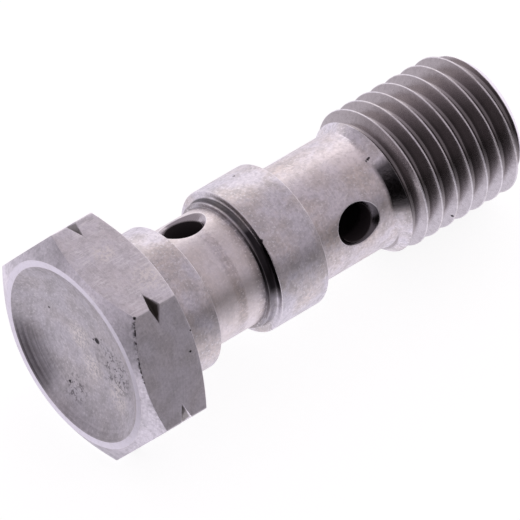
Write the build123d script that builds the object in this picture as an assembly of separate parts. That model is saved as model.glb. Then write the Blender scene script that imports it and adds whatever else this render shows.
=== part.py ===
from build123d import *
import math
import os

# A double banjo bolt turned from hexagon bar. All lengths are in mm and all angles in degrees.
# +X runs along the bolt from its head to its thread, and x = 0 is the bearing face under the head.
# Two flats of the hexagon face up and down. Turns are counted about +X, from +Y towards +Z.

# Head
across_flats = 17.0
head_height = 5.75
ring_inset = 0.55
ring_width = 0.55
front_cone = 30.0
bearing_inset = 0.5
rear_cone = 25.0
dish_wall_depth = 0.55
dish_wall_cone = 38.0
dish_depth = 1.3
dish_middle_d = 4.0

# V groove that nicks the corners
groove_from_bearing = 2.8
groove_depth = 0.67
groove_angle = 76.0

# Turned body
land_d = 12.0
land_length = 3.75
neck_1_d = 9.9
neck_1_end = 9.1
step_d = 10.6
step_relief = 0.4
collar_d = 12.0
collar_start = 9.75
collar_length = 4.55
neck_2_relief = 1.085
neck_2_end = 21.88
edge_break = 0.12

# Thread
thread_d = 11.95
thread_pitch = 1.5
thread_shoulder = 1.35
thread_end = 34.55
thread_end_cone = 1.2
crest_at_0 = 23.46
crest_flat = thread_pitch / 8
root_flat = thread_pitch / 4
flank_angle = 30.0

# Cross holes and axial bore
hole_1_from_bearing = 6.4
hole_1_turn = 60.0
hole_2_from_bearing = 18.55
hole_2_turn = 150.0
cross_hole_d = 3.0
countersink_d = 4.0
bore_d = 5.5
bore_mouth_d = 6.5
bore_past_hole = 1.2
drill_point = 118.0

# Clearances that only keep cutters clear of faces, the second as a share of the thread's depth
over = 1.0
groove_lift = 0.3


def corner_radius():
    return across_flats / math.sqrt(3)


def ring_radius():
    return across_flats / 2 - ring_inset


def bearing_radius():
    return across_flats / 2 - bearing_inset


def neck_2_radius():
    return thread_d / 2 - neck_2_relief


def sloped(run, angle):
    return run * math.tan(math.radians(angle))


def turned(points):
    """Turns a closed outline of (along, radius) points about the bolt's axis, here Z."""
    outline = make_face(Polyline([(r, 0, z) for z, r in points], close=True))
    return revolve(outline, Axis.Z)


def head_blank():
    """The hexagon with its cones, the nicks at its corners and the dish in its end."""
    front = -head_height
    outer = corner_radius() + over
    front_run = sloped(outer - ring_radius(), front_cone)
    rear_run = sloped(outer - bearing_radius(), rear_cone)
    middle = -groove_from_bearing
    groove_bottom = corner_radius() - groove_depth
    half_groove = sloped(outer - groove_bottom, groove_angle / 2)
    outline = [
        (front, 0),
        (front, ring_radius()),
        (front + front_run, outer),
        (middle - half_groove, outer),
        (middle, groove_bottom),
        (middle + half_groove, outer),
        (-rear_run, outer),
        (0, bearing_radius()),
        (0, 0),
    ]
    hexagon = RegularPolygon(corner_radius(), 6, rotation=0)
    prism = Pos(0, 0, front - over) * extrude(hexagon, head_height + 2 * over)
    return turned(outline) & prism


def dish_cutter():
    """A steep rim, then a shallow cone down to a flat middle."""
    front = -head_height
    rim = ring_radius() - ring_width
    floor_r = rim - dish_wall_depth / math.tan(math.radians(dish_wall_cone))
    outline = [
        (front + dish_depth, 0),
        (front - over, 0),
        (front - over, rim),
        (front, rim),
        (front + dish_wall_depth, floor_r),
        (front + dish_depth, dish_middle_d / 2),
    ]
    return turned(outline)


def body_blank():
    """Everything behind the bearing face before the thread is cut."""
    land_r = land_d / 2
    neck_1_r = neck_1_d / 2
    step_r = step_d / 2
    collar_r = collar_d / 2
    neck_2_r = neck_2_radius()
    thread_r = thread_d / 2
    collar_end = collar_start + collar_length
    cone_start = thread_end - thread_end_cone
    outline = [
        (-over, 0),
        (-over, land_r),
        (land_length - edge_break, land_r),
        (land_length, land_r - edge_break),
        (land_length, neck_1_r),
        (neck_1_end, neck_1_r),
        (neck_1_end, step_r),
        (collar_start - step_relief, step_r),
        (collar_start, step_r + step_relief),
        (collar_start, collar_r - edge_break),
        (collar_start + edge_break, collar_r),
        (collar_end - edge_break, collar_r),
        (collar_end, collar_r - edge_break),
        (collar_end, neck_2_r),
        (neck_2_end, neck_2_r),
        (neck_2_end + thread_shoulder, thread_r),
        (cone_start, thread_r),
        (thread_end, thread_r - thread_end_cone),
        (thread_end, 0),
    ]
    return turned(outline)


def groove_section():
    """The groove's section between two crests, its point of reference midway between them."""
    thread_r = thread_d / 2
    top_half = (thread_pitch - crest_flat) / 2
    root_half = root_flat / 2
    depth = (top_half - root_half) / math.tan(math.radians(flank_angle))
    lift = groove_lift * depth
    outer_half = top_half + sloped(lift, flank_angle)
    inner = thread_r - depth
    outer = thread_r + lift
    return inner, [
        (inner, 0, -root_half),
        (outer, 0, -outer_half),
        (outer, 0, outer_half),
        (inner, 0, root_half),
    ]


def thread_turn(start):
    """One turn of the helical groove, from its given start along the axis."""
    radius, section = groove_section()
    path = Helix(thread_pitch, thread_pitch, radius)
    groove = make_face(Polyline(*section, close=True))
    return Pos(0, 0, start) * sweep(groove, path=path, is_frenet=True)


def with_thread(blank):
    """Cuts the groove turn after turn, from free space before the shoulder to past the end."""
    turns_before = math.ceil((crest_at_0 - neck_2_end) / thread_pitch)
    start = crest_at_0 + (0.5 - turns_before) * thread_pitch
    while start < thread_end + over:
        blank -= thread_turn(start)
        start += thread_pitch
    return blank


def cross_hole(from_bearing, turn, surface_d):
    """One hole drilled right through the neck, with a countersink at each mouth."""
    across = Rot(0, 0, turn) * Rot(0, 90, 0)
    hole = Cylinder(cross_hole_d / 2, surface_d + 2 * over)
    sink = (countersink_d - cross_hole_d) / 2
    surface = surface_d / 2
    cone = Cone(cross_hole_d / 2, countersink_d / 2 + over, sink + over)
    mouth = Pos(0, 0, surface - sink + (sink + over) / 2) * cone
    return Pos(0, 0, from_bearing) * across * (hole + mouth + Rot(180, 0, 0) * mouth)


def bore_cutter():
    """The blind bore from the thread end, with a drill point and a broken mouth."""
    radius = bore_d / 2
    mouth = bore_mouth_d / 2
    deep = hole_1_from_bearing - cross_hole_d / 2 - bore_past_hole
    point = deep - radius / math.tan(math.radians(drill_point / 2))
    outline = [
        (point, 0),
        (deep, radius),
        (thread_end - (mouth - radius), radius),
        (thread_end, mouth),
        (thread_end + over, mouth),
        (thread_end + over, 0),
    ]
    return turned(outline)


def banjo_bolt():
    bolt = head_blank() - dish_cutter() + with_thread(body_blank())
    bolt -= bore_cutter()
    bolt -= cross_hole(hole_1_from_bearing, hole_1_turn, neck_1_d)
    bolt -= cross_hole(hole_2_from_bearing, hole_2_turn, 2 * neck_2_radius())
    lying = Plane(origin=(0, 0, 0), x_dir=(0, 1, 0), z_dir=(1, 0, 0))
    return lying.location * bolt


os.makedirs("parts", exist_ok=True)
bolt = banjo_bolt()
bolt.label = "banjo_bolt"
export_step(bolt, "parts/banjo_bolt.step")
print("banjo_bolt", bolt.volume, bolt.bounding_box())
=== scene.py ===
import math

import bmesh
import bpy
import numpy as np
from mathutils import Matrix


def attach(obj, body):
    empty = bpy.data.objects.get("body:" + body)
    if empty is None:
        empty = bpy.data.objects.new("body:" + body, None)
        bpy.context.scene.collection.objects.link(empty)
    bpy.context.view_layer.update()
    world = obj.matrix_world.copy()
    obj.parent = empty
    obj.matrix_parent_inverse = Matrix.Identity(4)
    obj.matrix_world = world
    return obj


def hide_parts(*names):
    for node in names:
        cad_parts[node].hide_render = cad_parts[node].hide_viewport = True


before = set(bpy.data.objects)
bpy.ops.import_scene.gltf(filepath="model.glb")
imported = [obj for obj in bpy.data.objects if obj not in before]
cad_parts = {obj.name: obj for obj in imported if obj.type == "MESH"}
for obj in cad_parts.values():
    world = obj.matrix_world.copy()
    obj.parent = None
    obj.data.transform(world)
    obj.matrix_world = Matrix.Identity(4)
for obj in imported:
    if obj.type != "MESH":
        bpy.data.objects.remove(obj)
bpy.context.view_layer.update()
mm = 0.001
print("frame loaded")

# The bolt lies along X, head first. Places round it are turns in degrees from +Y towards +Z.
meshing = {
    "columnsApart": 2.0,  # degrees
    "besideCorner": (0.25, 0.5, 1.0),  # extra columns either side of each corner of the hexagon
    "softRows": 5,  # rows over each softened edge
    "leastReach": 0.004,
    "mostReach": 0.45,  # share of the shorter side that a softened edge may take
    "shoulderRows": 0.03,  # mm between rows where the thread fades in
    "endRows": 0.035,
    "clear": 0.012,  # mm kept free where the helix meets a row
}
head = {
    "acrossFlats": 17.0,
    "height": 5.75,
    "cornerSoft": 0.13,
    "ringInset": 0.55,
    "ringWidth": 0.55,
    "ringSoft": 0.05,
    "frontCone": 30.0,
    "bearingInset": 0.5,
    "rearCone": 25.0,
    "dishDepth": 1.3,
    "bowlPower": 4.2,  # how late the bowl steepens towards its rim
    "bowlRows": (0.98, 0.12, 18, 1.6),  # first and last row, their number, and how they crowd at the rim
    "grooveFromBearing": 2.8,
    "grooveDepth": 0.67,
    "grooveAngle": 76.0,
    "grooveSoft": 0.03,
    "grooveLeast": 0.02,
    "edgeSoft": 0.07,
}
shank = {
    "landR": 6.0,
    "landEnd": 3.75,
    "neck1R": 4.95,
    "neck1End": 9.1,
    "stepR": 5.3,
    "stepSoft": 0.06,
    "stepHollow": 0.4,
    "collarR": 6.0,
    "collarStart": 9.75,
    "collarEnd": 14.3,
    "neck2R": 4.89,
    "neck2End": 21.88,
    "edgeSoft": 0.1,
    "cornerHollow": 0.1,
}
thread = {
    "crestR": 5.975,
    "pitch": 1.5,
    "crestAtZero": 23.48,
    "crestFlat": 0.11,
    "rootFlat": 0.3,
    "flankAngle": 30.0,
    "crestSoft": 0.03,
    "underCrest": 0.05,
    "crestShine": (0.4, 0.25, 1.0),  # on its middle, its far edge and its edge towards the head
    "rootHollow": 0.22,
    "shoulder": 1.35,
    "helixFrom": 23.3,
    "helixTo": 33.25,
    "endCone": 1.2,
    "end": 34.55,
    "endSoft": 0.08,
    "blend": 0.035,
}
holes = {
    "r": 1.5,
    "sinkR": 2.0,
    "first": {"x": 6.4, "turn": 60.0, "surfaceR": 4.95},
    "second": {"x": 18.55, "turn": 150.0, "surfaceR": 4.89},
    "outerWindow": (2.35, 34.0),  # half length in mm and half width in degrees
    "innerWindow": (2.1, 48.0),
    "edgeSoft": 0.05,
    "skinRings": (0.3, 0.55, 0.78, 1.0),  # shares of the way from the window to the rim
    # Rings over the rim: way out and drop, in shares of edgeSoft, then wear and zone
    "rimRings": (
        (0.3, 0.12, 1.0, ""),
        (0.0, 0.3, 1.0, ""),
        (-0.35, 0.2, 0.9, ""),
        (-1.0, 0.0, 0.0, "sink"),
    ),
    "sinkRings": ((0.05, 0.0, "sink"), (0.0, 0.08, "inner")),  # mm out of the hole's wall, drop and zone
    "wallRings": (0.35, 0.7, 1.0),
    "wallTop": 0.08,
    "least": 0.03,  # mm that the countersink keeps, however far the skin falls away
    "apart": (0.005, 0.01),  # mm that rings keep from the wall and from the rim
}
bore = {
    "r": 2.75,
    "mouthR": 3.25,
    "mouthSoft": 0.05,
    "deep": 3.7,
    "drillPoint": 118.0,
}


def tanOf(degrees):
    return math.tan(math.radians(degrees))


def columnTurns():
    even = np.arange(0.0, 360.0, meshing["columnsApart"])
    beside = [60.0 * k + s * o for k in range(6) for o in meshing["besideCorner"] for s in (-1, 1)]
    return np.unique(np.round(np.concatenate([even, np.mod(beside, 360.0)]), 4))


turns = columnTurns()
turnCount = len(turns)


def hexagonR():
    half = head["acrossFlats"] / 2
    cornerR = half / math.cos(math.radians(30))
    fromFlat = np.abs(np.mod(turns, 60.0) - 30.0)
    sharp = half / np.cos(np.radians(fromFlat))
    fromCorner = np.radians(30.0 - fromFlat)
    soft = head["cornerSoft"]
    middle = cornerR - soft / math.sin(math.radians(60))
    inside = soft**2 - (middle * np.sin(fromCorner)) ** 2
    rounded = middle * np.cos(fromCorner) + np.sqrt(np.maximum(inside, 0))
    tangent = soft / tanOf(60) / cornerR
    return np.where(fromCorner < tangent, np.minimum(sharp, rounded), sharp)


def headKnots():
    # Each knot: name, x, radius, softening, steps to the next knot
    capR = hexagonR()
    front = -head["height"]
    ringOut = head["acrossFlats"] / 2 - head["ringInset"]
    ringIn = ringOut - head["ringWidth"]
    middle = -head["grooveFromBearing"]
    grooveR = head["acrossFlats"] / math.sqrt(3) - head["grooveDepth"]
    grooveHalf = np.maximum((capR - grooveR) * tanOf(head["grooveAngle"] / 2), head["grooveLeast"])
    bearingR = head["acrossFlats"] / 2 - head["bearingInset"]
    soft, ringSoft, grooveSoft = head["edgeSoft"], head["ringSoft"], head["grooveSoft"]
    firstRow, lastRow, rowCount, crowding = head["bowlRows"]
    knots = []
    for share in 1 - np.linspace(firstRow, lastRow, rowCount) ** crowding:
        depth = head["dishDepth"] * (1 - share ** head["bowlPower"])
        knots.append(("bowl", front + depth, ringIn * share, 0, 1))
    return knots + [
        ("ringIn", front, ringIn, ringSoft, 3),
        ("ringOut", front, ringOut, ringSoft, 4),
        ("coneEnd", front + (capR - ringOut) * tanOf(head["frontCone"]), capR, soft, 4),
        ("grooveIn", middle - grooveHalf, capR, grooveSoft, 3),
        ("groove", middle, np.minimum(grooveR, capR), grooveSoft, 3),
        ("grooveOut", middle + grooveHalf, capR, grooveSoft, 4),
        ("rearCone", -(capR - bearingR) * tanOf(head["rearCone"]), capR, soft, 4),
        ("bearingOut", 0, bearingR, ringSoft, 4),
    ]


def shankKnots():
    landR, collarR = shank["landR"], shank["collarR"]
    neck1R, neck2R, stepR = shank["neck1R"], shank["neck2R"], shank["stepR"]
    soft, hollow, stepSoft = shank["edgeSoft"], shank["cornerHollow"], shank["stepSoft"]
    window = holes["outerWindow"][0]
    first, second = holes["first"]["x"], holes["second"]["x"]
    return [
        ("bearingIn", 0, landR, stepSoft, 4),
        ("landEnd", shank["landEnd"], landR, soft, 4),
        ("neck1In", shank["landEnd"], neck1R, hollow, 1),
        ("window1In", first - window, neck1R, 0, 13),
        ("window1Out", first + window, neck1R, 0, 1),
        ("neck1Out", shank["neck1End"], neck1R, stepSoft, 2),
        ("step", shank["neck1End"], stepR, stepSoft, 2),
        ("stepHollow", shank["collarStart"], stepR, shank["stepHollow"], 2),
        ("collarIn", shank["collarStart"], collarR, soft, 5),
        ("collarOut", shank["collarEnd"], collarR, soft, 4),
        ("neck2In", shank["collarEnd"], neck2R, hollow, 4),
        ("window2In", second - window, neck2R, 0, 13),
        ("window2Out", second + window, neck2R, 0, 3),
        ("shoulder", shank["neck2End"], neck2R, 0, 0),
    ]


def innerKnots():
    window = holes["innerWindow"][0]
    first, second = holes["first"]["x"], holes["second"]["x"]
    r, mouthR, soft = bore["r"], bore["mouthR"], bore["mouthSoft"]
    slope = tanOf(bore["drillPoint"] / 2)
    tip = bore["deep"] - r / slope
    coneEndR = thread["crestR"] - thread["endCone"]
    return [
        ("cone", thread["end"] - 0.1, coneEndR + 0.1, 0, 1),
        ("endOut", thread["end"], coneEndR, thread["endSoft"], 4),
        ("mouth", thread["end"], mouthR, soft, 2),
        ("mouthIn", thread["end"] - (mouthR - r), r, soft, 3),
        ("bore2Out", second + window, r, 0, 9),
        ("bore2In", second - window, r, 0, 2),
        ("bore1Out", first + window, r, 0, 9),
        ("bore1In", first - window, r, 0, 1),
        ("deep", bore["deep"], r, 0, 3),
        ("tip", tip + 0.05, 0.05 * slope, 0, 0),
    ]


def softenedCorner(here, back, on, soft):
    # A short curve of rows round one knot, with the wear of each row
    backLong = np.linalg.norm(back, axis=1, keepdims=True)
    onLong = np.linalg.norm(on, axis=1, keepdims=True)
    back, on = back / backLong, on / onLong
    turn = np.pi - np.arccos(np.clip((back * on).sum(1, keepdims=True), -1, 1))
    most = meshing["mostReach"] * np.minimum(backLong, onLong)
    reach = np.clip(soft * np.tan(turn / 2), meshing["leastReach"], most)
    convex = ((-back[:, 0] * on[:, 1] + back[:, 1] * on[:, 0]) < 0).mean() > 0.5
    rows, edges = [], []
    for s in np.linspace(0, 1, meshing["softRows"]):
        rows.append(here + back * reach * (1 - s) ** 2 + on * reach * s**2)
        edges.append(float(convex) * (1 - abs(2 * s - 1)))
    return rows, edges


def softenedRows(knots):
    # Rows of (x, r) for each column, their wear, and the row at which each knot starts
    points = [np.stack([k[1] + 0 * turns, k[2] + 0 * turns], 1) for k in knots]
    curves = []
    for i, knot in enumerate(knots):
        here, soft = points[i], knot[3]
        if soft == 0 or i in (0, len(knots) - 1):
            curves.append(([here], [0.0]))
        else:
            curves.append(softenedCorner(here, points[i - 1] - here, points[i + 1] - here, soft))
    rows, edges, starts = [], [], {}
    for i, knot in enumerate(knots):
        starts.setdefault(knot[0], len(rows))
        rows += curves[i][0]
        edges += curves[i][1]
        if i + 1 < len(knots):
            a, b = curves[i][0][-1], curves[i + 1][0][0]
            for s in np.linspace(0, 1, knot[4] + 1)[1:-1]:
                rows.append(a + (b - a) * s)
                edges.append(0.0)
    return np.array(rows), np.array(edges), starts


def threadProfile():
    # One side of a turn: distance from the crest's middle, and radius, softened at crest and root
    half, crestR = thread["pitch"] / 2, thread["crestR"]
    crestEdge, rootEdge = thread["crestFlat"] / 2, half - thread["rootFlat"] / 2
    rootR = crestR - (rootEdge - crestEdge) / tanOf(thread["flankAngle"])
    corners = np.array([(0, crestR), (crestEdge, crestR), (rootEdge, rootR), (half, rootR)])
    line = [corners[0]]
    down = (corners[2] - corners[1]) / np.linalg.norm(corners[2] - corners[1])
    for i, soft, count in ((1, thread["crestSoft"], 3), (2, thread["rootHollow"], 5)):
        back, on = corners[i - 1] - corners[i], corners[i + 1] - corners[i]
        backLong, onLong = np.linalg.norm(back), np.linalg.norm(on)
        turn = math.pi - math.acos(float(back @ on) / (backLong * onLong))
        reach = soft * math.tan(turn / 2)
        backReach, onReach = min(reach, 0.95 * backLong), min(reach, 0.95 * onLong)
        for s in np.linspace(0, 1, count):
            bend = back / backLong * backReach * (1 - s) ** 2 + on / onLong * onReach * s**2
            line.append(corners[i] + bend)
        if i == 1:
            line.append(line[-1] + down * thread["underCrest"])
            line.append(line[-1] + down * 3 * thread["underCrest"])
    line.append(corners[3])
    return np.array(line)


turnSide = threadProfile()


def threadR(x, turn):
    pitch = thread["pitch"]
    phase = (x - thread["crestAtZero"]) / pitch - turn / 360.0
    away = np.abs(phase - np.round(phase)) * pitch
    return np.interp(away, turnSide[:, 0], turnSide[:, 1])


def blankR(x):
    start, shoulder = shank["neck2End"], thread["shoulder"]
    rise = (thread["crestR"] - shank["neck2R"]) / shoulder
    up = shank["neck2R"] + (x - start) * rise
    down = thread["crestR"] - (x - (thread["end"] - thread["endCone"]))
    return np.minimum(np.minimum(up, down), thread["crestR"])


def softMin(a, b, blend):
    h = np.clip(0.5 + 0.5 * (b - a) / blend, 0, 1)
    return b + (a - b) * h - blend * h * (1 - h)


def runOutRows(xs):
    # Rows of constant x where the thread fades out in the shoulder and in the end cone
    x = np.array(xs)[:, None] + 0 * turns[None, :]
    r = softMin(blankR(x), threadR(x, turns[None, :]), thread["blend"])
    return np.stack([x, r], 2)


def crestWearAndHighlight(r, step, perTurn):
    # The crest's edge towards the head is painted bright, as wear and as a painted highlight, its other edge
    # less
    middle, far, near = thread["crestShine"]
    onCrest = float(np.clip((r - thread["crestR"] + thread["underCrest"]) / thread["crestSoft"], 0, 1))
    return middle if step == 0 else onCrest * (far if step < perTurn / 2 else near)


def helixColumns(leftX, rightX):
    # For each column, the rows that follow the helix between the two ends, as (key, x, r)
    pitch, start, clear = thread["pitch"], thread["crestAtZero"], meshing["clear"]
    sub = [(d, r) for d, r in turnSide] + [(pitch - d, r) for d, r in turnSide[-2:0:-1]]
    firstTurn = math.floor((leftX - start) / pitch) - 2
    lastTurn = math.ceil((rightX - start) / pitch) + 1
    made = []
    for turn in turns:
        rows = []
        for k in range(firstTurn, lastTurn + 1):
            for i, (d, r) in enumerate(sub):
                x = start + pitch * (k + turn / 360.0) + d
                if leftX + clear < x < rightX - clear:
                    rows.append((k * len(sub) + i, x, r))
        made.append(rows)
    return made, len(sub)


class MeshParts:
    # Collects points and faces of the one closed skin
    def __init__(self):
        self.points, self.faces, self.edges, self.zones = [], [], [], []

    def add(self, x, r, turn, edge=0.0, zone=""):
        a = math.radians(turn)
        self.points.append((x, r * math.cos(a), r * math.sin(a)))
        self.edges.append(edge)
        self.zones.append(zone)
        return len(self.points) - 1

    def addRows(self, rows, edges, zones):
        ids = np.zeros(rows.shape[:2], int)
        for i in range(rows.shape[0]):
            for j in range(rows.shape[1]):
                ids[i, j] = self.add(rows[i, j, 0], rows[i, j, 1], turns[j], edges[i], zones[i])
        return ids

    def fillRows(self, ids, windows):
        for i in range(ids.shape[0] - 1):
            for j in range(turnCount):
                n = (j + 1) % turnCount
                if any(i0 <= i < i1 and inside(j, j0, j1) for i0, i1, j0, j1 in windows):
                    continue
                self.faces.append((ids[i, j], ids[i, n], ids[i + 1, n], ids[i + 1, j]))

    def fan(self, centre, ring):
        for j in range(turnCount):
            self.faces.append((centre, ring[j], ring[(j + 1) % turnCount]))

    def joinRings(self, rings):
        for a, b in zip(rings, rings[1:]):
            for k in range(len(a)):
                n = (k + 1) % len(a)
                self.faces.append((a[k], a[n], b[n], b[k]))

    def zip(self, a, b):
        # Joins two strings of (key, id) that run the same way
        i = j = 0
        while i + 1 < len(a) or j + 1 < len(b):
            nextA = a[i + 1][0] if i + 1 < len(a) else math.inf
            nextB = b[j + 1][0] if j + 1 < len(b) else math.inf
            if i + 1 < len(a) and j + 1 < len(b) and nextA == nextB:
                self.faces.append((a[i][1], b[j][1], b[j + 1][1], a[i + 1][1]))
                i, j = i + 1, j + 1
            elif nextA < nextB or j + 1 >= len(b):
                self.faces.append((a[i][1], b[j][1], a[i + 1][1]))
                i += 1
            else:
                self.faces.append((a[i][1], b[j][1], b[j + 1][1]))
                j += 1


def inside(j, j0, j1):
    return (j0 <= j < j1) if j0 < j1 else (j >= j0 or j < j1)


def columnAt(turn):
    return int(np.argmin(np.abs(turns - turn % 360.0)))


def rimOf(i0, i1, j0, j1):
    # The row and column of each vertex round a window, in order
    js = [j % turnCount for j in range(j0, j1 + 1 if j1 > j0 else j1 + turnCount + 1)]
    rim = [(i0, j) for j in js]
    rim += [(i, js[-1]) for i in range(i0 + 1, i1 + 1)]
    rim += [(i1, j) for j in reversed(js[:-1])]
    rim += [(i, js[0]) for i in range(i1 - 1, i0, -1)]
    return rim


def turnBetween(turn, middle):
    return (turn - middle + 180.0) % 360.0 - 180.0


def holePoint(parts, x, turn, along, across, up, edge=0.0, zone=""):
    # A point given in the hole's own directions: along the bolt, across it and up out of it
    r = math.hypot(across, up)
    return parts.add(x + along, r, turn + math.degrees(math.atan2(across, up)), edge, zone)


def sinkReach(surfaceR, sinkFloor, direction):
    # How far from the hole's middle the countersink meets the round skin
    reach = holes["sinkR"]
    for _ in range(12):
        up = math.sqrt(surfaceR**2 - (reach * math.sin(direction)) ** 2)
        reach = max(holes["r"] + holes["least"], holes["r"] + up - sinkFloor)
    return reach


def startFromEnd(string):
    # A string of (angle, id) round the hole, closed by repeating its end at the start
    string = sorted(string)
    return [(string[-1][0] - 2 * math.pi, string[-1][1])] + string


def skinRings(parts, spec, turn, spots, reaches):
    # From the window over the round skin to the countersink's rim
    surfaceR, soft = spec["surfaceR"], holes["edgeSoft"]
    rings = []
    for share in holes["skinRings"]:
        ring = []
        for (a, b), reach in zip(spots, reaches):
            d = math.atan2(b, a)
            endA, endB = (reach + soft) * math.cos(d), (reach + soft) * math.sin(d)
            endB = surfaceR * math.asin(endB / surfaceR)
            along, arc = a + (endA - a) * share, b + (endB - b) * share
            ring.append(parts.add(spec["x"] + along, surfaceR, turn + math.degrees(arc / surfaceR)))
        rings.append(ring)
    return rings


def crossHole(parts, spec, turn, outerSkin, innerSkin):
    # Each skin: ids, rows and the window that is left open in it
    surfaceR, x0 = spec["surfaceR"], spec["x"]
    r, soft = holes["r"], holes["edgeSoft"]
    offWall, offRim = holes["apart"]
    sinkFloor = surfaceR - (holes["sinkR"] - r)
    outerIds, outerRows, outerWindow = outerSkin
    rim = rimOf(*outerWindow)
    spots = []
    for i, j in rim:
        spots.append((outerRows[i, j, 0] - x0, surfaceR * math.radians(turnBetween(turns[j], turn))))
    directions = [math.atan2(b, a) for a, b in spots]
    reaches = [sinkReach(surfaceR, sinkFloor, d) for d in directions]
    rings = [[outerIds[i, j] for i, j in rim]] + skinRings(parts, spec, turn, spots, reaches)

    def addRing(aways, ups, edge, zone):
        ring = []
        for d, away, up in zip(directions, aways, ups):
            ring.append(holePoint(parts, x0, turn, away * math.cos(d), away * math.sin(d), up, edge, zone))
        rings.append(ring)

    for offset, drop, edge, zone in holes["rimRings"]:
        aways = [max(reach + offset * soft, r + offWall) for reach in reaches]
        ups = []
        for d, away in zip(directions, aways):
            onSkin = math.sqrt(surfaceR**2 - (away * math.sin(d)) ** 2)
            ups.append(min(onSkin, sinkFloor + away - r) - drop * soft)
        addRing(aways, ups, edge, zone)
    for out, drop, zone in holes["sinkRings"]:
        aways = [min(r + out, reach - offRim) for reach in reaches]
        addRing(aways, [sinkFloor + away - r - drop for away in aways], 0.0, zone)
    top = sinkFloor - holes["wallTop"]
    lows = [math.sqrt(bore["r"] ** 2 - (r * math.sin(d)) ** 2) for d in directions]
    for share in holes["wallRings"]:
        addRing([r] * len(rim), [top + (low - top) * share for low in lows], 0.0, "inner")
    parts.joinRings(rings)
    # The last ring meets the window in the bore
    innerIds, innerRows, innerWindow = innerSkin
    low = []
    for i, j in rimOf(*innerWindow):
        across = bore["r"] * math.radians(turnBetween(turns[j], turn))
        low.append((math.atan2(across, innerRows[i, j, 0] - x0) % (2 * math.pi), int(innerIds[i, j])))
    high = [(d % (2 * math.pi), v) for d, v in zip(directions, rings[-1])]
    parts.zip(startFromEnd(high), startFromEnd(low))


def zonesOf(count, spans):
    zones = [""] * count
    for name, first, end in spans:
        zones[first:end] = [name] * (end - first)
    return zones


def outerSpans(starts, rowCount, runOutCount):
    coneEnd, grooveIn, grooveOut = starts["coneEnd"], starts["grooveIn"], starts["grooveOut"]
    return [
        ("dish", 0, starts["ringIn"] + 1),
        ("ring", starts["ringIn"] + 2, starts["ringOut"] + 1),
        ("burr", coneEnd, coneEnd + 4),
        ("flat", coneEnd + 4, grooveIn + 1),
        ("notch", grooveIn + 1, grooveOut + 4),
        ("flat", grooveOut + 4, starts["rearCone"] + 3),
        ("recess", starts["neck1Out"] + 1, starts["collarIn"] + 1),
        ("thread", rowCount - runOutCount, rowCount),
    ]


def windowAt(starts, knots, turn, half, shift=0):
    first, last = (starts[knot] + shift for knot in knots)
    return first, last, columnAt(turn - half), columnAt(turn + half)


def addHelix(parts, leftX, rightX, leftIds, rightIds):
    # The thread between its two run-outs, column by column, then joined to its neighbour
    made, perTurn = helixColumns(leftX, rightX)
    strings = []
    for j, rows in enumerate(made):
        strings.append([])
        for key, x, r in rows:
            step = key % perTurn
            zone = "thread" if step > perTurn / 2 or step == 0 else "behind"
            strings[-1].append((key, parts.add(x, r, turns[j], crestWearAndHighlight(r, step, perTurn), zone)))
    for j in range(turnCount):
        n = (j + 1) % turnCount
        shift = perTurn if n == 0 else 0
        beside = [(key - shift, v) for key, v in strings[n]]
        a = [(-math.inf, leftIds[j])] + strings[j] + [(math.inf, rightIds[j])]
        b = [(-math.inf, leftIds[n])] + beside + [(math.inf, rightIds[n])]
        parts.zip(a, b)


def boltSkin():
    parts = MeshParts()
    neckEnd, leftX = shank["neck2End"], thread["helixFrom"]
    rightX, endX = thread["helixTo"], thread["end"]
    gap, endGap = meshing["shoulderRows"], meshing["endRows"]
    before = runOutRows([neckEnd + 0.001, *np.arange(neckEnd + gap, leftX - 0.01, gap), leftX])
    after = runOutRows([rightX, *np.arange(rightX + endGap, endX - 0.06, endGap)])
    tailCount = len(after)
    outerRows, outerEdges, outerAt = softenedRows(headKnots() + shankKnots())
    outerRows = np.concatenate([outerRows[:-1], before])
    outerEdges = np.concatenate([outerEdges[:-1], np.zeros(len(before))])
    innerRows, innerEdges, innerAt = softenedRows(innerKnots())
    innerRows = np.concatenate([after, innerRows[1:]])
    innerEdges = np.concatenate([np.zeros(tailCount), innerEdges[1:]])
    outerZones = zonesOf(len(outerRows), outerSpans(outerAt, len(outerRows), len(before)))
    firstInner = tailCount + innerAt["mouthIn"]
    innerZones = zonesOf(len(innerRows), [("thread", 0, tailCount), ("inner", firstInner, len(innerRows))])
    outerIds = parts.addRows(outerRows, outerEdges, outerZones)
    innerIds = parts.addRows(innerRows, innerEdges, innerZones)
    jobs = []
    for number, spec in enumerate((holes["first"], holes["second"]), 1):
        for turn in (spec["turn"], spec["turn"] + 180.0):
            outerKnots = (f"window{number}In", f"window{number}Out")
            outerWindow = windowAt(outerAt, outerKnots, turn, holes["outerWindow"][1])
            boreKnots = (f"bore{number}Out", f"bore{number}In")
            innerWindow = windowAt(innerAt, boreKnots, turn, holes["innerWindow"][1], tailCount - 1)
            jobs.append((spec, turn, outerWindow, innerWindow))
    parts.fillRows(outerIds, [job[2] for job in jobs])
    parts.fillRows(innerIds, [job[3] for job in jobs])
    for spec, turn, outerWindow, innerWindow in jobs:
        outerSkin, innerSkin = (outerIds, outerRows, outerWindow), (innerIds, innerRows, innerWindow)
        crossHole(parts, spec, turn, outerSkin, innerSkin)
    frontPole = parts.add(outerRows[0, 0, 0], 0.0, 0.0, 0.0, "dish")
    backPole = parts.add(innerRows[-1, 0, 0] - 0.05, 0.0, 0.0, 0.0, "inner")
    parts.fan(frontPole, outerIds[0])
    parts.fan(backPole, innerIds[-1])
    addHelix(parts, leftX, rightX, outerIds[-1], innerIds[0])
    return parts
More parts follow.
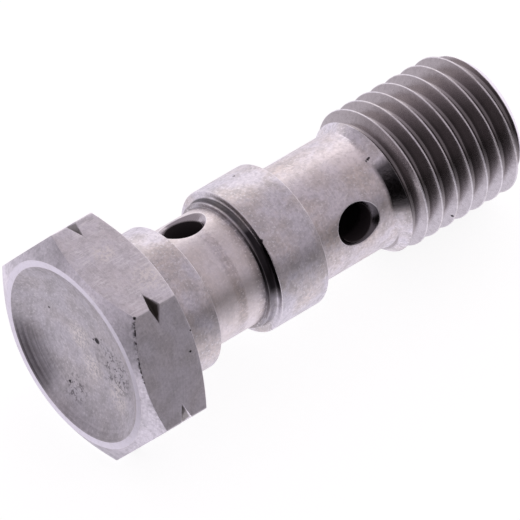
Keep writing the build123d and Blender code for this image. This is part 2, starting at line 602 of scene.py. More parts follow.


# Shares of the skin that lie on one side of the bolt, where light or shade is painted into its colour:
# middle turn, cosine where it starts, and its run
sides = {
    "shaded": (132.0, 0.72, 0.18),
    "turned": (137.0, 0.6, 0.3),
    "under": (200.0, 0.72, 0.22),
    "collarFace": (140.0, 0.84, 0.12),
    "step": (138.0, 0.6, 0.38),
    "shoulderShade": (134.0, 0.9, 0.05),
    "sheen": (87.0, 0.95, 0.045),
}
# Wear, and painted light and shade, by place on the bolt
wearLightAndShade = {
    "cornerR": 9.3,  # the hexagon's corners shine outside this radius
    "cornerTurn": (1.0, 0.4, 0.9),  # degrees from the corner, run and most
    "stepFrom": 8.95,
    "stepTo": 9.6,
    "stepEdge": 0.3,  # share of the edges' shine left on the step
    "coneTo": -3.0,
    "notchRun": (0.02, 0.08),
    "notchShare": (1.0, 0.8, 1.0, 0.85, 1.0, 1.0, 1.0),  # for each corner, counted in turns of 60 degrees
    "burrTurn": (17.0, 16.0),  # middle and half width on each flat, in degrees
    "burrSide": (-3.0, 3.0),  # only where y is less and z is more
    "hollowFrom": 9.3,
    "hollowShade": (0.85, 0.4, 150.0, 20.0),  # least above and below, the turn between them and its run
    "leastShade": {"step": 0.25, "collarFace": 0.05},
    "flankRun": 0.06,
    "depthRun": 0.9,
    "pastShoulder": 0.3,
    # Strength of the painted highlight on the second neck, along the bolt
    "sheenAlong": ((14.5, 18.0, 20.5), (0.25, 0.35, 0.85)),
    # Turns round the head's front cone and the painted light and shade of its skin there
    "coneTurns": (0, 20, 45, 70, 84, 100, 116, 128, 141, 154, 165, 180, 215, 245, 335, 350, 359),
    "coneTones": (1.3, 1, 0.85, 0.74, 1.08, 1.3, 1.1, 0.82, 0.9, 1.2, 0.85, 0.82, 0.98, 0.85, 0.9, 1.2, 1.3),
}


def onSide(around, side, bothSides=False):
    middle, start, run = sides[side]
    facing = np.cos(np.radians(around - middle))
    least = wearLightAndShade["leastShade"].get(side, 0.0)
    return np.clip(((np.abs(facing) if bothSides else facing) - start) / run, least, 1)


# Painted shade in the recess between the first neck and the collar: on the step, the hollow and the collar's
# face, darkest on the shaded side
def recessShade(x, around, turn, shaded):
    above, below, middle, run = wearLightAndShade["hollowShade"]
    least = above - (above - below) * np.clip((turn - middle) / run, 0, 1)
    onStep = np.where(x > wearLightAndShade["hollowFrom"], np.clip(shaded, least, 1), onSide(around, "step"))
    return np.where(x > shank["collarStart"] - 0.05, onSide(around, "collarFace"), onStep)


def skinMasks(parts):
    zones, points = np.array(parts.zones), np.array(parts.points)
    x, y, z = points.T
    radii = np.hypot(y, z)
    around = np.degrees(np.arctan2(z, y))
    turn, inSixth = np.mod(around, 360.0), np.mod(around, 60.0)
    masks = {zone: zones == zone for zone in ("dish", "ring", "flat", "behind", "inner", "sink", "recess")}
    # Edges and the hexagon's corners
    width, run, most = wearLightAndShade["cornerTurn"]
    fromCorner = np.minimum(inSixth, 60.0 - inSixth)
    corner = np.isin(zones, ("flat", "notch")) * (radii > wearLightAndShade["cornerR"])
    corner = corner * np.clip((width - fromCorner) / run, 0, most)
    onStep = (x > wearLightAndShade["stepFrom"]) * (x < wearLightAndShade["stepTo"])
    masks["edge"] = np.maximum(parts.edges, corner) * np.where(onStep, wearLightAndShade["stepEdge"], 1.0)
    # Head
    capR = head["acrossFlats"] / 2 / np.cos(np.radians(inSixth - 30.0))
    # Painted shade in the corner notches, darker deeper in, by a share for each corner
    start, run = wearLightAndShade["notchRun"]
    notch = (zones == "notch") * np.clip((capR - radii - start) / run, 0, 1)
    masks["flat"] = np.maximum(masks["flat"], (zones == "notch") * (1 - notch))
    masks["notch"] = notch * np.array(wearLightAndShade["notchShare"])[np.round(turn / 60.0).astype(int)]
    masks["cone"] = (x < wearLightAndShade["coneTo"]) * ~np.isin(zones, ("dish", "flat", "ring", "notch"))
    # Painted light and shade round the head's front cone, by turn
    masks["coneTone"] = np.interp(turn, wearLightAndShade["coneTurns"], wearLightAndShade["coneTones"])
    middle, half = wearLightAndShade["burrTurn"]
    burred = (np.abs(inSixth - middle) < half) * (y < wearLightAndShade["burrSide"][0]) * (z > wearLightAndShade["burrSide"][1])
    masks["burr"] = burred * (zones == "burr")
    # Thread and shoulder
    threaded = (zones == "thread") + masks["behind"]
    # Painted shade in the thread: the flanks, darker deeper towards the root
    masks["flank"] = threaded * np.clip((blankR(x) - radii) / wearLightAndShade["flankRun"], 0, 1)
    masks["depth"] = masks["flank"] * np.clip((thread["crestR"] - radii) / wearLightAndShade["depthRun"], 0, 1)
    # Painted light and shade on the flanks: shaded on these sides of the bolt, a painted floor reflection
    # underneath
    masks["turned"] = onSide(around, "turned", bothSides=True)
    masks["under"] = onSide(around, "under")
    onShoulder = threaded * (x < thread["helixFrom"] + wearLightAndShade["pastShoulder"])
    masks["shoulder"] = onShoulder * (1 - masks["flank"])
    # Painted shade on the shoulder's shaded side
    masks["shoulderShade"] = masks["shoulder"] * onSide(around, "shoulderShade")
    # Necks, recess and countersinks, with painted shade on their shaded sides and a painted highlight on the
    # second neck
    masks["shaded"] = onSide(around, "shaded", bothSides=True)
    masks["recess"] = masks["recess"] * recessShade(x, around, turn, masks["shaded"])
    onNeck2 = (radii > bore["r"] + 1.0) * (x > shank["collarEnd"] + 0.1) * (1 - threaded)
    # Painted highlight along the top of the second neck
    masks["sheen"] = onNeck2 * onSide(around, "sheen") * np.interp(x, *wearLightAndShade["sheenAlong"])
    # Painted shade on the second hole's countersink
    masks["sinkDark"] = masks["sink"] * (x > holes["second"]["x"] - holes["sinkR"] - 0.5)
    return masks


def boltMesh():
    parts = boltSkin()
    mesh = bpy.data.meshes.new("banjoBolt")
    faces = [tuple(int(v) for v in face) for face in parts.faces]
    mesh.from_pydata((np.array(parts.points) * mm).tolist(), [], faces)
    mesh.validate()
    tidy = bmesh.new()
    tidy.from_mesh(mesh)
    bmesh.ops.recalc_face_normals(tidy, faces=tidy.faces)
    openEdges = sum(1 for e in tidy.edges if len(e.link_faces) != 2)
    triangles = sum(len(f.verts) - 2 for f in tidy.faces)
    print("bolt skin: triangles", triangles, "open edges", openEdges)
    tidy.to_mesh(mesh)
    tidy.free()
    mesh.shade_smooth()
    for name, values in skinMasks(parts).items():
        mask = mesh.attributes.new(name, "FLOAT", "POINT")
        mask.data.foreach_set("value", np.array(values, np.float32))
    bolt = bpy.data.objects.new("bolt", mesh)
    bpy.context.scene.collection.objects.link(bolt)
    weigh = bolt.modifiers.new("faceWeight", "WEIGHTED_NORMAL")
    weigh.keep_sharp = False
    return bolt


bolt = boltMesh()
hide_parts("banjo_bolt")
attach(bolt, "root")

steel = {
    "clean": (0.768, 0.742, 0.792, 1),
    "beige": (0.755, 0.69, 0.655, 1),
    "grey": (0.46, 0.455, 0.475, 1),
    "dishTint": (0.87, 0.87, 0.86, 1),
    "ring": (0.775, 0.75, 0.82, 1),
    # Painted shade deep in the corner notches
    "notch": (0.12, 0.11, 0.1, 1),
    # Colour of the painted highlight on the second neck
    "sheen": (1.0, 0.95, 0.965, 1),
    "warmth": (1.03, 1.0, 0.97, 1),
    "smear": (0.95, 0.9, 0.86, 1),
    # Pale steel: on worn edges, scratches, pale patches and bands, and as the painted highlight on the
    # thread's crests
    "paleWearAndHighlight": (0.86, 0.84, 0.86, 1),
    # Thread colours: flank, root and the side behind are painted shade in the grooves, flankLit is a lit
    # copy of the flank, flankUnder a painted floor reflection
    "flank": (0.32, 0.295, 0.298, 1),
    "flankUnder": (0.61, 0.585, 0.61, 1),
    "flankLit": (0.43, 0.4, 0.405, 1),
    "root": (0.2, 0.185, 0.185, 1),
    "cut": (0.48, 0.45, 0.47, 1),
    # Dark of the cut arcs in the dish, and of the painted shade at the first neck's end and in the second
    # countersink
    "shadeAndCutDark": (0.12, 0.11, 0.12, 1),
    # Near black of the painted shade in the recess and on the shoulder
    "recess": (0.03, 0.027, 0.03, 1),
    # Painted shade inside the bore and the cross holes
    "inside": (0.045, 0.038, 0.04, 1),
    "pit": (0.05, 0.045, 0.05, 1),
    # Painted highlight on the thread's end cone, a reflection of the bright floor
    "chamfer": (0.94, 0.91, 0.95, 1),
    # Strength of the patches on the head and on the body behind it
    "beigeShare": (0.32, 0.95),
    "beigeOnCone": (1.0, 0.2),
    "greyShare": (0.35, 0.42),
    "fineShare": (0.2, 0.38),
    "whiteShare": (0.5, 0.75),
    # Strength where another mask is 0 and where it is 1
    "neckShade": (0.32, 0.45),
    "speckTone": (0.9, 1.06),
    "lineTone": (0.95, 1.03),
    "sheenShare": (1.0, 0.6),
    "ringShare": (0.9, 0.6),
    "edgeShare": (0.3, 0.95),
    "flankSpots": 0.22,
    # Strength of the painted shade on the shoulder
    "shoulderShadeShare": 0.85,
    "pitted": 0.75,
    "topFlat": (8.0, 8.4),  # mm above the axis
    "scratches": (0.54, 0.62, 0.0, 0.75),
    "scratchWide": 0.13,  # mm
    "streakWide": 0.07,
    "streakTurn": 0.69,  # radians
    "streakLong": 0.12,
    "ragged": 0.2,
    "lineSpacing": 0.09,
    "roughness": 0.33,
    "speckRough": (0.06, -0.04),
    "insideRough": 0.3,
    "smoothing": (0.13, 0.6),  # off the roughness, and the flanks' share of it
    "dulling": (0.18, 1.1),  # onto the roughness, and the cone's share of it
    "lineHeight": 0.6,
    "streakHeight": 1.2,
    "flankBump": 0.92,  # share of the bump that the flanks lose
    "bump": 0.000006,  # metres
    "endCone": (33.4, 33.5),  # where the end cone's own colour starts, along the bolt
    "bodyFrom": (-0.3, 0.3),
}
# Kinds of patches: size in mm, share of the skin, softness
patchKinds = {
    "beige": (2.4, 0.5, 0.2),
    "grey": (1.2, 0.45, 0.16),
    "fine": (0.35, 0.46, 0.2),
    "white": (0.2, 0.39, 0.06),
    "speck": (0.22, 0.5, 0.5),
    "scratched": (0.9, 0.5, 0.1),
    "broken": (0.5, 0.55, 0.25),
    "jagged": (0.3, 0.5, 0.08),
    "winding": (0.45, 0.5, 0.06),
    "dots": (0.2, 0.38, 0.06),
    "rubbed": (0.26, 0.5, 0.08),
}
# Bands round the necks: along the bolt from nothing to full, from full to nothing, and strength
bands = {
    "warm": (((3.9, 4.6), (9.2, 8.7), 1.0), ((14.3, 14.8), (22.2, 21.5), 0.55)),
    "bright": (((4.1, 4.6), (6.6, 6.1), 0.45), ((7.1, 7.35), (8.8, 8.0), 0.5)),
    "dim": (((6.1, 6.5), (7.3, 7.1), 0.12),),
    # Painted shade at the first neck's end beside the step
    "darkEnd": (7.9, 9.2, 9.15),  # starts, would be full, and stops
}
# Turning arcs in the dish, darkened as tool marks and as painted shade on the wall's shaded side: a side of
# its rim, how near to that side, strength, and radius
arcs = {
    "spacing": 0.2,
    "side": (0.7, -0.71),
    "sector": (0.84, 0.99),
    "lowerSide": (-0.42, -0.9),
    "lowerSector": (0.7, 0.95, 0.0, 0.4),
    "radius": (3.3, 7.6),
    "strength": (0.3, 0.7, 0.66, 0.93),
}
# Spots in the dish and on the upper flat: middle in mm, radius, and strength of the pits
spots = {
    "pitted": (((-4.5, -3.5, 0.7), 3.2, 1.0), ((-4.6, 0.3, -5.0), 1.8, 0.8)),
    "pittedCore": 0.5,
    "winding": 1.9,  # how tightly the pits wind
    "windingLine": (0.08, 0.035),
    "rubbed": (
        ((-4.7, -4.2, -1.6), 1.9),
        ((-4.6, 0.9, 0.4), 1.8),
        ((-4.6, -0.9, -1.4), 1.9),
        ((-1.4, -2.4, 8.5), 1.9),
        ((-2.6, 1.3, 8.5), 1.2),
    ),
    "rubbedCore": 0.4,
    "rubbedShare": (0.1, 0.6),
}
# Pits, nicks and dots: place in mm and radius
marks = [
    (-4.46, -1.02, 1.75, 0.36),
    (-4.46, -0.62, 1.55, 0.12),
    (-4.45, -1.45, 2.35, 0.1),
    (-4.60, 4.36, 0.52, 0.11),
    (-4.71, 1.06, -4.93, 0.16),
    (-0.34, -6.56, 5.64, 0.1),
    (-0.87, -7.34, 4.28, 0.12),
    (-4.72, -4.89, 8.48, 0.2),
    (9.71, -2.79, 5.25, 0.2),
    (12.37, 3.54, 4.85, 0.12),
    (21.55, -1.14, 4.76, 0.1),
    (21.72, -1.08, 4.78, 0.13),
    (21.9, -1.04, 4.79, 0.1),
    (27.09, -5.67, -1.21, 0.18),
]


def newGroup(name, inputs, outputs):
    group = bpy.data.node_groups.new(name, "ShaderNodeTree")
    for label, value in inputs:
        socket = group.interface.new_socket(label, in_out="INPUT", socket_type="NodeSocketFloat")
        socket.default_value = value
    for label in outputs:
        group.interface.new_socket(label, in_out="OUTPUT", socket_type="NodeSocketFloat")
    return group, group.nodes.new("NodeGroupInput"), group.nodes.new("NodeGroupOutput")


def feed(tree, socket, value):
    # Links a socket to another, or sets it to a number or colour
    if isinstance(value, bpy.types.NodeSocket):
        tree.links.new(value, socket)
    elif value is not None:
        socket.default_value = value


def mathNode(tree, operation, a, b=None, clamp=False):
    node = tree.nodes.new("ShaderNodeMath")
    node.operation, node.use_clamp = operation, clamp
    feed(tree, node.inputs[0], a)
    feed(tree, node.inputs[1], b)
    return node.outputs[0]


def times(tree, a, b):
    return mathNode(tree, "MULTIPLY", a, b)


def plus(tree, a, b):
    return mathNode(tree, "ADD", a, b)


def minus(tree, a, b):
    return mathNode(tree, "SUBTRACT", a, b)


def larger(tree, a, b):
    return mathNode(tree, "MAXIMUM", a, b)


def lengthNode(tree, a, b):
    return mathNode(tree, "SQRT", plus(tree, times(tree, a, a), times(tree, b, b)))


def rangeNode(tree, value, low, high, toLow=0.0, toHigh=1.0):
    node = tree.nodes.new("ShaderNodeMapRange")
    node.interpolation_type = "SMOOTHSTEP"
    tree.links.new(value, node.inputs["Value"])
    for name, number in (("From Min", low), ("From Max", high), ("To Min", toLow), ("To Max", toHigh)):
        node.inputs[name].default_value = number
    return node.outputs["Result"]


def shareNode(tree, mask, shares):
    # The first share where the mask is 0, the second where it is 1
    return rangeNode(tree, mask, 0.0, 1.0, *shares)


def mixNode(tree, factor, a, b, blend="MIX"):
    node = tree.nodes.new("ShaderNodeMix")
    node.data_type, node.blend_type = "RGBA", blend
    feed(tree, node.inputs["Factor"], factor)
    feed(tree, node.inputs["A"], a)
    feed(tree, node.inputs["B"], b)
    return node.outputs["Result"]


def layered(tree, colour, layers):
    # Lays colours over the first one, each where its own mask says
    for mask, over in layers:
        colour = mixNode(tree, mask, colour, over)
    return colour


def placeInMm(tree):
    where = tree.nodes.new("ShaderNodeTexCoord")
    scaled = tree.nodes.new("ShaderNodeVectorMath")
    scaled.operation = "SCALE"
    scaled.inputs["Scale"].default_value = 1 / mm
    tree.links.new(where.outputs["Object"], scaled.inputs[0])
    return scaled.outputs[0]


def splitNode(tree, vector):
    split = tree.nodes.new("ShaderNodeSeparateXYZ")
    tree.links.new(vector, split.inputs[0])
    return split.outputs


def distanceNode(tree, place, middle):
    gap = tree.nodes.new("ShaderNodeVectorMath")
    gap.operation = "DISTANCE"
    tree.links.new(place, gap.inputs[0])
    gap.inputs[1].default_value = middle
    return gap.outputs["Value"]


def noiseNode(tree, vector, scale, detail=2.0, rough=0.5, dimensions="3D"):
    node = tree.nodes.new("ShaderNodeTexNoise")
    node.noise_dimensions = dimensions
    feed(tree, node.inputs["W" if dimensions == "1D" else "Vector"], vector)
    for name, value in (("Scale", scale), ("Detail", detail), ("Roughness", rough)):
        feed(tree, node.inputs[name], value)
    return node.outputs["Fac"]


def useGroup(tree, group, **values):
    node = tree.nodes.new("ShaderNodeGroup")
    node.node_tree = group
    for name, value in values.items():
        node.inputs[name].default_value = value
    return node.outputs[0]


def attributeNode(tree, name):
    node = tree.nodes.new("ShaderNodeAttribute")
    node.attribute_name = name
    return node.outputs["Fac"]


def greyOf(tree, value):
    grey = tree.nodes.new("ShaderNodeCombineColor")
    for channel in grey.inputs:
        tree.links.new(value, channel)
    return grey.outputs[0]


def patchGroup():
    # Soft patches of a stated size, with a stated share of the surface
    group, given, out = newGroup("patches", [("Size", 1.0), ("Share", 0.5), ("Softness", 0.1)], ["Mask"])
    scale = mathNode(group, "DIVIDE", 1.0, given.outputs["Size"])
    noise = noiseNode(group, placeInMm(group), scale, 3.0, 0.6)
    raised = minus(group, noise, minus(group, 1.0, given.outputs["Share"]))
    mask = mathNode(group, "DIVIDE", raised, given.outputs["Softness"])
    group.links.new(mathNode(group, "ADD", mask, 0.5, clamp=True), out.inputs["Mask"])
    return group


def patchNode(tree, group, kind):
    size, share, softness = patchKinds[kind]
    return useGroup(tree, group, Size=size, Share=share, Softness=softness)


def lineGroup():
    # Turning lines: circles round the bolt's axis, uneven in depth
    group, given, out = newGroup("turningLines", [("Spacing", 0.1)], ["Height"])
    x, y, z = splitNode(group, placeInMm(group))
    along = plus(group, x, lengthNode(group, y, z))
    stretched = group.nodes.new("ShaderNodeCombineXYZ")
    scaled = mathNode(group, "DIVIDE", along, given.outputs["Spacing"])
    for socket, value in zip(stretched.inputs, (scaled, times(group, y, 0.35), times(group, z, 0.35))):
        group.links.new(value, socket)
    group.links.new(noiseNode(group, stretched.outputs[0], 1.0, 2.0, 0.6), out.inputs["Height"])
    return group


def markGroup():
    # Small dark pits and nicks at their own places, with ragged rims
    group, given, out = newGroup("marks", [("Ragged", 0.1)], ["Mask"])
    place = placeInMm(group)
    wobble = minus(group, noiseNode(group, place, 7.0, 2.0, 0.6), 0.5)
    wobble = times(group, wobble, given.outputs["Ragged"])
    total = 0.0
    for x, y, z, size in marks:
        near = plus(group, distanceNode(group, place, (x, y, z)), wobble)
        total = larger(group, rangeNode(group, near, size, size * 0.55), total)
    group.links.new(total, out.inputs["Mask"])
    return group


def arcGroup():
    # Turning arcs near one side of the dish's rim, and fainter ones below: tool marks darkened as painted
    # shade on that side of the wall
    group, given, out = newGroup("dishArcs", [("Spacing", 0.16)], ["Mask"])
    y, z = splitNode(group, placeInMm(group))[1:]
    radius = lengthNode(group, y, z)
    near = 0.0
    for side, reach in ((arcs["side"], arcs["sector"]), (arcs["lowerSide"], arcs["lowerSector"])):
        toSide = plus(group, times(group, y, side[0]), times(group, z, side[1]))
        sector = rangeNode(group, mathNode(group, "DIVIDE", toSide, radius), *reach)
        near = larger(group, sector, near)
    scaled = mathNode(group, "DIVIDE", radius, given.outputs["Spacing"])
    lines = noiseNode(group, scaled, 1.0, 1.0, 0.5, "1D")
    cut = times(group, near, rangeNode(group, radius, *arcs["radius"]))
    group.links.new(times(group, cut, rangeNode(group, lines, *arcs["strength"])), out.inputs["Mask"])
    return group


def streakGroup():
    # Fine short scratches across the flats
    group, given, out = newGroup("streaks", [("Wide", 0.07)], ["Height"])
    turned = group.nodes.new("ShaderNodeMapping")
    turned.inputs["Rotation"].default_value = (0, 0, steel["streakTurn"])
    turned.inputs["Scale"].default_value = (steel["streakLong"], 1, 1)
    group.links.new(placeInMm(group), turned.inputs["Vector"])
    scale = mathNode(group, "DIVIDE", 1.0, given.outputs["Wide"])
    group.links.new(noiseNode(group, turned.outputs[0], scale, 2.0, 0.6), out.inputs["Height"])
    return group


def windingPits(tree, patches, place):
    # Fine winding pits in two parts of the dish
    near = []
    for middle, reach, strength in spots["pitted"]:
        gap = distanceNode(tree, place, middle)
        near.append(rangeNode(tree, gap, reach, spots["pittedCore"], 0.0, strength))
    winding = minus(tree, noiseNode(tree, place, spots["winding"], 1.0, 0.6), 0.5)
    lines = rangeNode(tree, mathNode(tree, "ABSOLUTE", winding), *spots["windingLine"])
    broken = times(tree, lines, patchNode(tree, patches, "winding"))
    drawn = larger(tree, broken, patchNode(tree, patches, "dots"))
    return times(tree, larger(tree, *near), drawn)


def smears(tree, patches, place):
    # Pale rubbed spots in the dish and on the upper flat
    near = 0.0
    for middle, reach in spots["rubbed"]:
        spot = rangeNode(tree, distanceNode(tree, place, middle), reach, spots["rubbedCore"])
        near = larger(tree, spot, near)
    return times(tree, near, shareNode(tree, patchNode(tree, patches, "rubbed"), spots["rubbedShare"]))


def bandNode(tree, x, kind):
    total = 0.0
    for rise, fall, strength in bands[kind]:
        band = times(tree, rangeNode(tree, x, *rise, 0.0, strength), rangeNode(tree, x, *fall))
        total = plus(tree, band, total)
    return total


def placedMasks(tree, masks, patches):
    # Masks that follow from the place on the bolt
    place = placeInMm(tree)
    axes = splitNode(tree, place)
    x, z = axes["X"], axes["Z"]
    # Painted shade darkening the first neck towards the step
    start, full, stop = bands["darkEnd"]
    darkEnd = times(tree, rangeNode(tree, x, start, full), mathNode(tree, "LESS_THAN", x, stop))
    marked = useGroup(tree, markGroup(), Ragged=steel["ragged"])
    pitted = times(tree, times(tree, windingPits(tree, patches, place), masks["dish"]), steel["pitted"])
    return {
        "line": useGroup(tree, lineGroup(), Spacing=steel["lineSpacing"]),
        "arcs": times(tree, useGroup(tree, arcGroup(), Spacing=arcs["spacing"]), masks["dish"]),
        "smears": times(tree, smears(tree, patches, place), larger(tree, masks["dish"], masks["flat"])),
        "marks": larger(tree, marked, pitted),
        "warm": bandNode(tree, x, "warm"),
        "bright": bandNode(tree, x, "bright"),
        "neckEnd": plus(tree, darkEnd, bandNode(tree, x, "dim")),
        "body": rangeNode(tree, x, *steel["bodyFrom"]),
        "topFlat": times(tree, rangeNode(tree, z, *steel["topFlat"]), masks["flat"]),
        # Where the end cone's painted highlight lies
        "chamfer": times(tree, rangeNode(tree, x, *steel["endCone"]), minus(tree, 1.0, masks["flank"])),
    }


def patchyColour(tree, masks, patches, fine, speck):
    # The turned skin with its dull, warm and pale patches, painted shade at the first neck's end, a painted
    # highlight on the second neck, and painted light and shade round the head's cone
    body = masks["body"]
    beige = times(tree, patchNode(tree, patches, "beige"), shareNode(tree, body, steel["beigeShare"]))
    beige = times(tree, beige, shareNode(tree, masks["cone"], steel["beigeOnCone"]))
    grey = times(tree, patchNode(tree, patches, "grey"), shareNode(tree, body, steel["greyShare"]))
    fineGrey = times(tree, fine, shareNode(tree, body, steel["fineShare"]))
    colour = mixNode(tree, beige, steel["clean"], steel["beige"])
    colour = layered(tree, colour, ((grey, steel["grey"]), (fineGrey, steel["grey"])))
    colour = mixNode(tree, masks["dish"], colour, steel["dishTint"], "MULTIPLY")
    # Painted shade at the first neck's end, stronger on the shaded side
    neckShade = times(tree, masks["neckEnd"], shareNode(tree, masks["shaded"], steel["neckShade"]))
    colour = mixNode(tree, neckShade, colour, steel["shadeAndCutDark"])
    lined = rangeNode(tree, masks["line"], 0.3, 0.7, *steel["lineTone"])
    tone = greyOf(tree, times(tree, shareNode(tree, speck, steel["speckTone"]), lined))
    colour = mixNode(tree, 1.0, colour, tone, "MULTIPLY")
    white = times(tree, patchNode(tree, patches, "white"), shareNode(tree, body, steel["whiteShare"]))
    # Painted highlight on the second neck
    sheen = times(tree, masks["sheen"], shareNode(tree, fine, steel["sheenShare"]))
    pale = ((white, steel["paleWearAndHighlight"]), (masks["bright"], steel["paleWearAndHighlight"]), (sheen, steel["sheen"]))
    colour = layered(tree, colour, pale)
    colour = mixNode(tree, masks["warm"], colour, steel["warmth"], "MULTIPLY")
    # Painted light and shade round the head's front cone
    return mixNode(tree, masks["cone"], colour, greyOf(tree, masks["coneTone"]), "MULTIPLY")


def steelColour(tree, masks, patches, streaks, speck):
    fine = patchNode(tree, patches, "fine")
    colour = patchyColour(tree, masks, patches, fine, speck)
    scratched = times(tree, patchNode(tree, patches, "scratched"), masks["topFlat"])
    scratches = rangeNode(tree, useGroup(tree, streaks, Wide=steel["scratchWide"]), *steel["scratches"])
    # Painted light and shade on the flanks: lit and shaded copies by side, a painted floor reflection
    # underneath, and shade in the root
    flank = mixNode(tree, masks["turned"], steel["flankLit"], steel["flank"])
    flank = mixNode(tree, masks["under"], flank, steel["flankUnder"])
    flank = mixNode(tree, times(tree, fine, steel["flankSpots"]), flank, steel["root"])
    behind = mixNode(tree, masks["turned"], steel["flankLit"], steel["root"])
    broken = shareNode(tree, patchNode(tree, patches, "broken"), steel["edgeShare"])
    return layered(tree, colour, (
        (times(tree, scratched, scratches), steel["paleWearAndHighlight"]),
        (masks["smears"], steel["smear"]),
        # Painted shade in the thread's grooves, deepest at the root
        (masks["flank"], flank),
        (masks["behind"], behind),
        (rangeNode(tree, masks["depth"], 0.6, 0.95), behind),
        (masks["sink"], steel["cut"]),
        # Painted shade on the second countersink
        (masks["sinkDark"], steel["shadeAndCutDark"]),
        # Painted shade on the shoulder and in the recess
        (times(tree, masks["shoulderShade"], steel["shoulderShadeShare"]), steel["recess"]),
        (masks["recess"], steel["recess"]),
        (times(tree, masks["ring"], shareNode(tree, fine, steel["ringShare"])), steel["ring"]),
        # Dish arcs: tool marks, darkened as painted shade
        (masks["arcs"], steel["shadeAndCutDark"]),
        # Edges painted pale: wear, and on the thread's crests a painted highlight
        (times(tree, masks["edge"], broken), steel["paleWearAndHighlight"]),
        (times(tree, masks["burr"], patchNode(tree, patches, "jagged")), steel["pit"]),
        # Painted shade in the corner notches
        (masks["notch"], steel["notch"]),
        (masks["marks"], steel["pit"]),
        # Painted highlight on the end cone
        (masks["chamfer"], steel["chamfer"]),
        # Painted shade inside the bore and the cross holes
        (masks["inner"], steel["inside"]),
    ))


def steelRoughness(tree, masks, speck):
    rough = plus(tree, shareNode(tree, speck, steel["speckRough"]), steel["roughness"])
    rough = plus(tree, rough, times(tree, masks["inner"], steel["insideRough"]))
    smoothing, flankShare = steel["smoothing"]
    smooth = larger(tree, masks["sink"], masks["shoulder"])
    smooth = larger(tree, smooth, times(tree, masks["flank"], flankShare))
    rough = minus(tree, rough, times(tree, smooth, smoothing))
    dulling, coneShare = steel["dulling"]
    dull = larger(tree, masks["dish"], times(tree, masks["cone"], coneShare))
    return plus(tree, rough, times(tree, dull, dulling))


def steelBump(tree, masks, streaks, speck):
    bump = tree.nodes.new("ShaderNodeBump")
    bump.inputs["Distance"].default_value = steel["bump"]
    scratched = times(tree, useGroup(tree, streaks, Wide=steel["streakWide"]), masks["flat"])
    height = plus(tree, speck, times(tree, masks["line"], steel["lineHeight"]))
    height = plus(tree, height, times(tree, scratched, steel["streakHeight"]))
    strength = minus(tree, 1.0, times(tree, masks["flank"], steel["flankBump"]))
    tree.links.new(strength, bump.inputs["Strength"])
    tree.links.new(height, bump.inputs["Height"])
    return bump.outputs[0]


def steelMaterial(mesh):
    material = bpy.data.materials.new("turnedSteel")
    material.use_nodes = True
    tree = material.node_tree
    shader = tree.nodes["Principled BSDF"]
    names = [a.name for a in mesh.attributes if a.data_type == "FLOAT"]
    masks = {name: attributeNode(tree, name) for name in names}
    patches, streaks = patchGroup(), streakGroup()
    masks.update(placedMasks(tree, masks, patches))
    speck = patchNode(tree, patches, "speck")
    metal = minus(tree, 1.0, masks["inner"])
    tree.links.new(steelColour(tree, masks, patches, streaks, speck), shader.inputs["Base Color"])
    tree.links.new(steelRoughness(tree, masks, speck), shader.inputs["Roughness"])
    tree.links.new(metal, shader.inputs["Metallic"])
    tree.links.new(times(tree, metal, 0.5), shader.inputs["Specular IOR Level"])
    tree.links.new(steelBump(tree, masks, streaks, speck), shader.inputs["Normal"])
    return material


bolt.data.materials.append(steelMaterial(bolt.data))
print("bolt made")

floorSpec = {
    "headTouch": (-0.233, -8.5),  # x and z where the head's bottom flat touches the floor
    "threadTouch": (33.35, -5.975),  # and where the thread's last crest does
    "size": 3.0,
    "colour": (0.3, 0.3, 0.3, 1),
    "roughness": 0.9,
    "seen": (0.87, 0.87, 0.87, 1),
    "mirrored": (0.98, 0.93, 1.02, 1),
    # What the bolt mirrors of the floor, by place in mm
    "nearest": 11.0,
    "fall": -0.6,
    "diffuse": 0.15,
    "headFront": -6.0,
    "stretchAcross": (-7.0, 1.0),
    "stretch": (1.5, 8.0),  # on the camera's side and on the far side
    "aheadFrom": (-22.0, -34.0),
    "least": (0.22, 0.45),  # beside the bolt and far ahead of it
    "farFrom": (-12.0, 8.0),
    "farGlow": 0.82,
    # Painted shadow of the bolt on the floor, seen only in reflections
    "darkSector": (0.66, 0.9),
    "darkFrom": (12.0, 45.0),
    "darkStop": (-32.0, -22.0),
    # Painted glint on the floor ahead of the head, seen only in reflections
    "glint": (-22.0, -13.5),
    "glintLong": 0.45,
    "glintReach": (9.0, 4.0, 0.0, 1.2),
}
studio = {
    "farSide": (0.35, 0.94),  # the bright side of the room, along X and Y
    "darkSide": (-0.73, -0.68),
    "overhead": (0.52, 0.468, 0.515, 1),
    # Glows round the room: side, colour, how far round and how high each one reaches
    "glows": (
        ((0.75, 0.66), (1.2, 1.12, 1.17, 1), (0.1, 0.6), (0.75, 0.45)),
        ((0.2, -0.98), (0.199, 0.181, 0.191, 1), (0.15, 0.5), (0.5, 0.22)),
        ((-0.73, -0.68), (0.012, 0.01, 0.01, 1), (0.66, 0.86), (0.68, 0.46)),
    ),
    "background": (1, 1, 1, 1),
}
view = {
    "place": (-388.30, -387.69, 664.77),  # mm
    "turn": (39.6468, -5.0957, -39.8541),  # degrees
    "lens": 794.04,
    "film": 36.0,
    "clip": (0.05, 20.0),  # metres
}


def towards(tree, vector, side):
    # How far a point or direction lies towards one side of the room
    dot = tree.nodes.new("ShaderNodeVectorMath")
    dot.operation = "DOT_PRODUCT"
    tree.links.new(vector, dot.inputs[0])
    dot.inputs[1].default_value = (*side, 0)
    return dot.outputs["Value"]


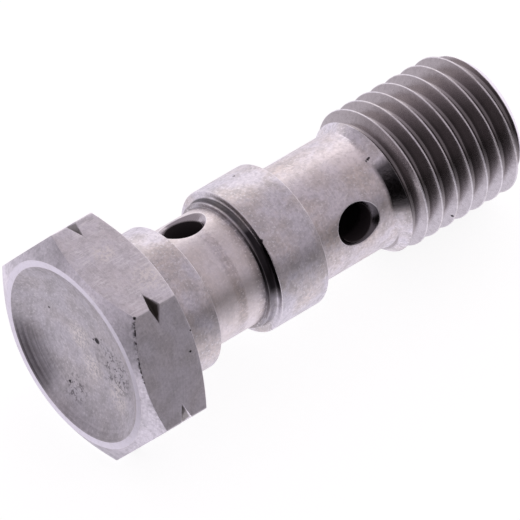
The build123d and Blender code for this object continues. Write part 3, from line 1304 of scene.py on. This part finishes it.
def floorGlow(tree):
    # Painted reflection of a lit floor: brightest beside the bolt, dimmer towards the head's front and the
    # camera, with a painted shadow and a glint
    place = placeInMm(tree)
    x, y = splitNode(tree, place)[:2]
    stretch = rangeNode(tree, y, *floorSpec["stretchAcross"], *floorSpec["stretch"])
    ahead = times(tree, larger(tree, minus(tree, floorSpec["headFront"], x), 0.0), stretch)
    away = larger(tree, lengthNode(tree, ahead, y), floorSpec["nearest"])
    share = mathNode(tree, "DIVIDE", away, floorSpec["nearest"])
    faded = minus(tree, mathNode(tree, "POWER", share, floorSpec["fall"]), floorSpec["diffuse"])
    lit = larger(tree, faded, rangeNode(tree, x, *floorSpec["aheadFrom"], *floorSpec["least"]))
    far = rangeNode(tree, towards(tree, place, studio["farSide"]), *floorSpec["farFrom"])
    lit = plus(tree, lit, times(tree, far, larger(tree, minus(tree, floorSpec["farGlow"], lit), 0.0)))
    # Painted shadow of the bolt on the floor, seen only in reflections
    toDark = towards(tree, place, studio["darkSide"])
    nearDark = mathNode(tree, "DIVIDE", toDark, lengthNode(tree, x, y))
    shade = rangeNode(tree, nearDark, *floorSpec["darkSector"])
    shade = times(tree, shade, rangeNode(tree, toDark, *floorSpec["darkFrom"]))
    shade = times(tree, shade, rangeNode(tree, x, *floorSpec["darkStop"]))
    # Painted glint ahead of the head
    glintX, glintY = floorSpec["glint"]
    dx = times(tree, minus(tree, x, glintX), floorSpec["glintLong"])
    gap = lengthNode(tree, dx, minus(tree, y, glintY))
    lit = times(tree, lit, minus(tree, 1.0, shade))
    return plus(tree, lit, rangeNode(tree, gap, *floorSpec["glintReach"]))


def floorPlane():
    (x1, z1), (x2, z2) = floorSpec["headTouch"], floorSpec["threadTouch"]
    slope = math.atan2(z2 - z1, x2 - x1)
    bpy.ops.mesh.primitive_plane_add(size=floorSpec["size"])
    floor = bpy.context.object
    floor.name = "floor"
    floor.rotation_euler = (0, -slope, 0)
    floor.location = (x1 * mm, 0, z1 * mm)
    material = bpy.data.materials.new("whiteFloor")
    material.use_nodes = True
    tree = material.node_tree
    shader = tree.nodes["Principled BSDF"]
    shader.inputs["Base Color"].default_value = floorSpec["colour"]
    shader.inputs["Roughness"].default_value = floorSpec["roughness"]
    shader.inputs["Specular IOR Level"].default_value = 0.0
    paths = tree.nodes.new("ShaderNodeLightPath")
    seen = paths.outputs["Is Camera Ray"]
    mirrored = times(tree, paths.outputs["Is Glossy Ray"], floorGlow(tree))
    glow = mixNode(tree, seen, floorSpec["mirrored"], floorSpec["seen"])
    tree.links.new(glow, shader.inputs["Emission Color"])
    tree.links.new(larger(tree, seen, mirrored), shader.inputs["Emission Strength"])
    floor.data.materials.append(material)


def studioWorld():
    world = bpy.data.worlds.new("studio")
    bpy.context.scene.world = world
    world.use_nodes = True
    tree = world.node_tree
    direction = tree.nodes.new("ShaderNodeTexCoord").outputs["Generated"]
    lift = splitNode(tree, direction)["Z"]
    sky = studio["overhead"]
    for side, colour, reach, height in studio["glows"]:
        around = rangeNode(tree, towards(tree, direction, side), *reach)
        sky = mixNode(tree, times(tree, around, rangeNode(tree, lift, *height)), sky, colour)
    paths = tree.nodes.new("ShaderNodeLightPath")
    sky = mixNode(tree, paths.outputs["Is Camera Ray"], sky, studio["background"])
    tree.links.new(sky, tree.nodes["Background"].inputs["Color"])


def photoCamera():
    data = bpy.data.cameras.new("camera")
    camera = bpy.data.objects.new("camera", data)
    bpy.context.scene.collection.objects.link(camera)
    camera.location = [v * mm for v in view["place"]]
    camera.rotation_euler = [math.radians(v) for v in view["turn"]]
    data.lens, data.sensor_width = view["lens"], view["film"]
    data.clip_start, data.clip_end = view["clip"]
    bpy.context.scene.camera = camera


floorPlane()
studioWorld()
photoCamera()
bpy.context.scene.view_settings.view_transform = "Standard"
print("studio ready")
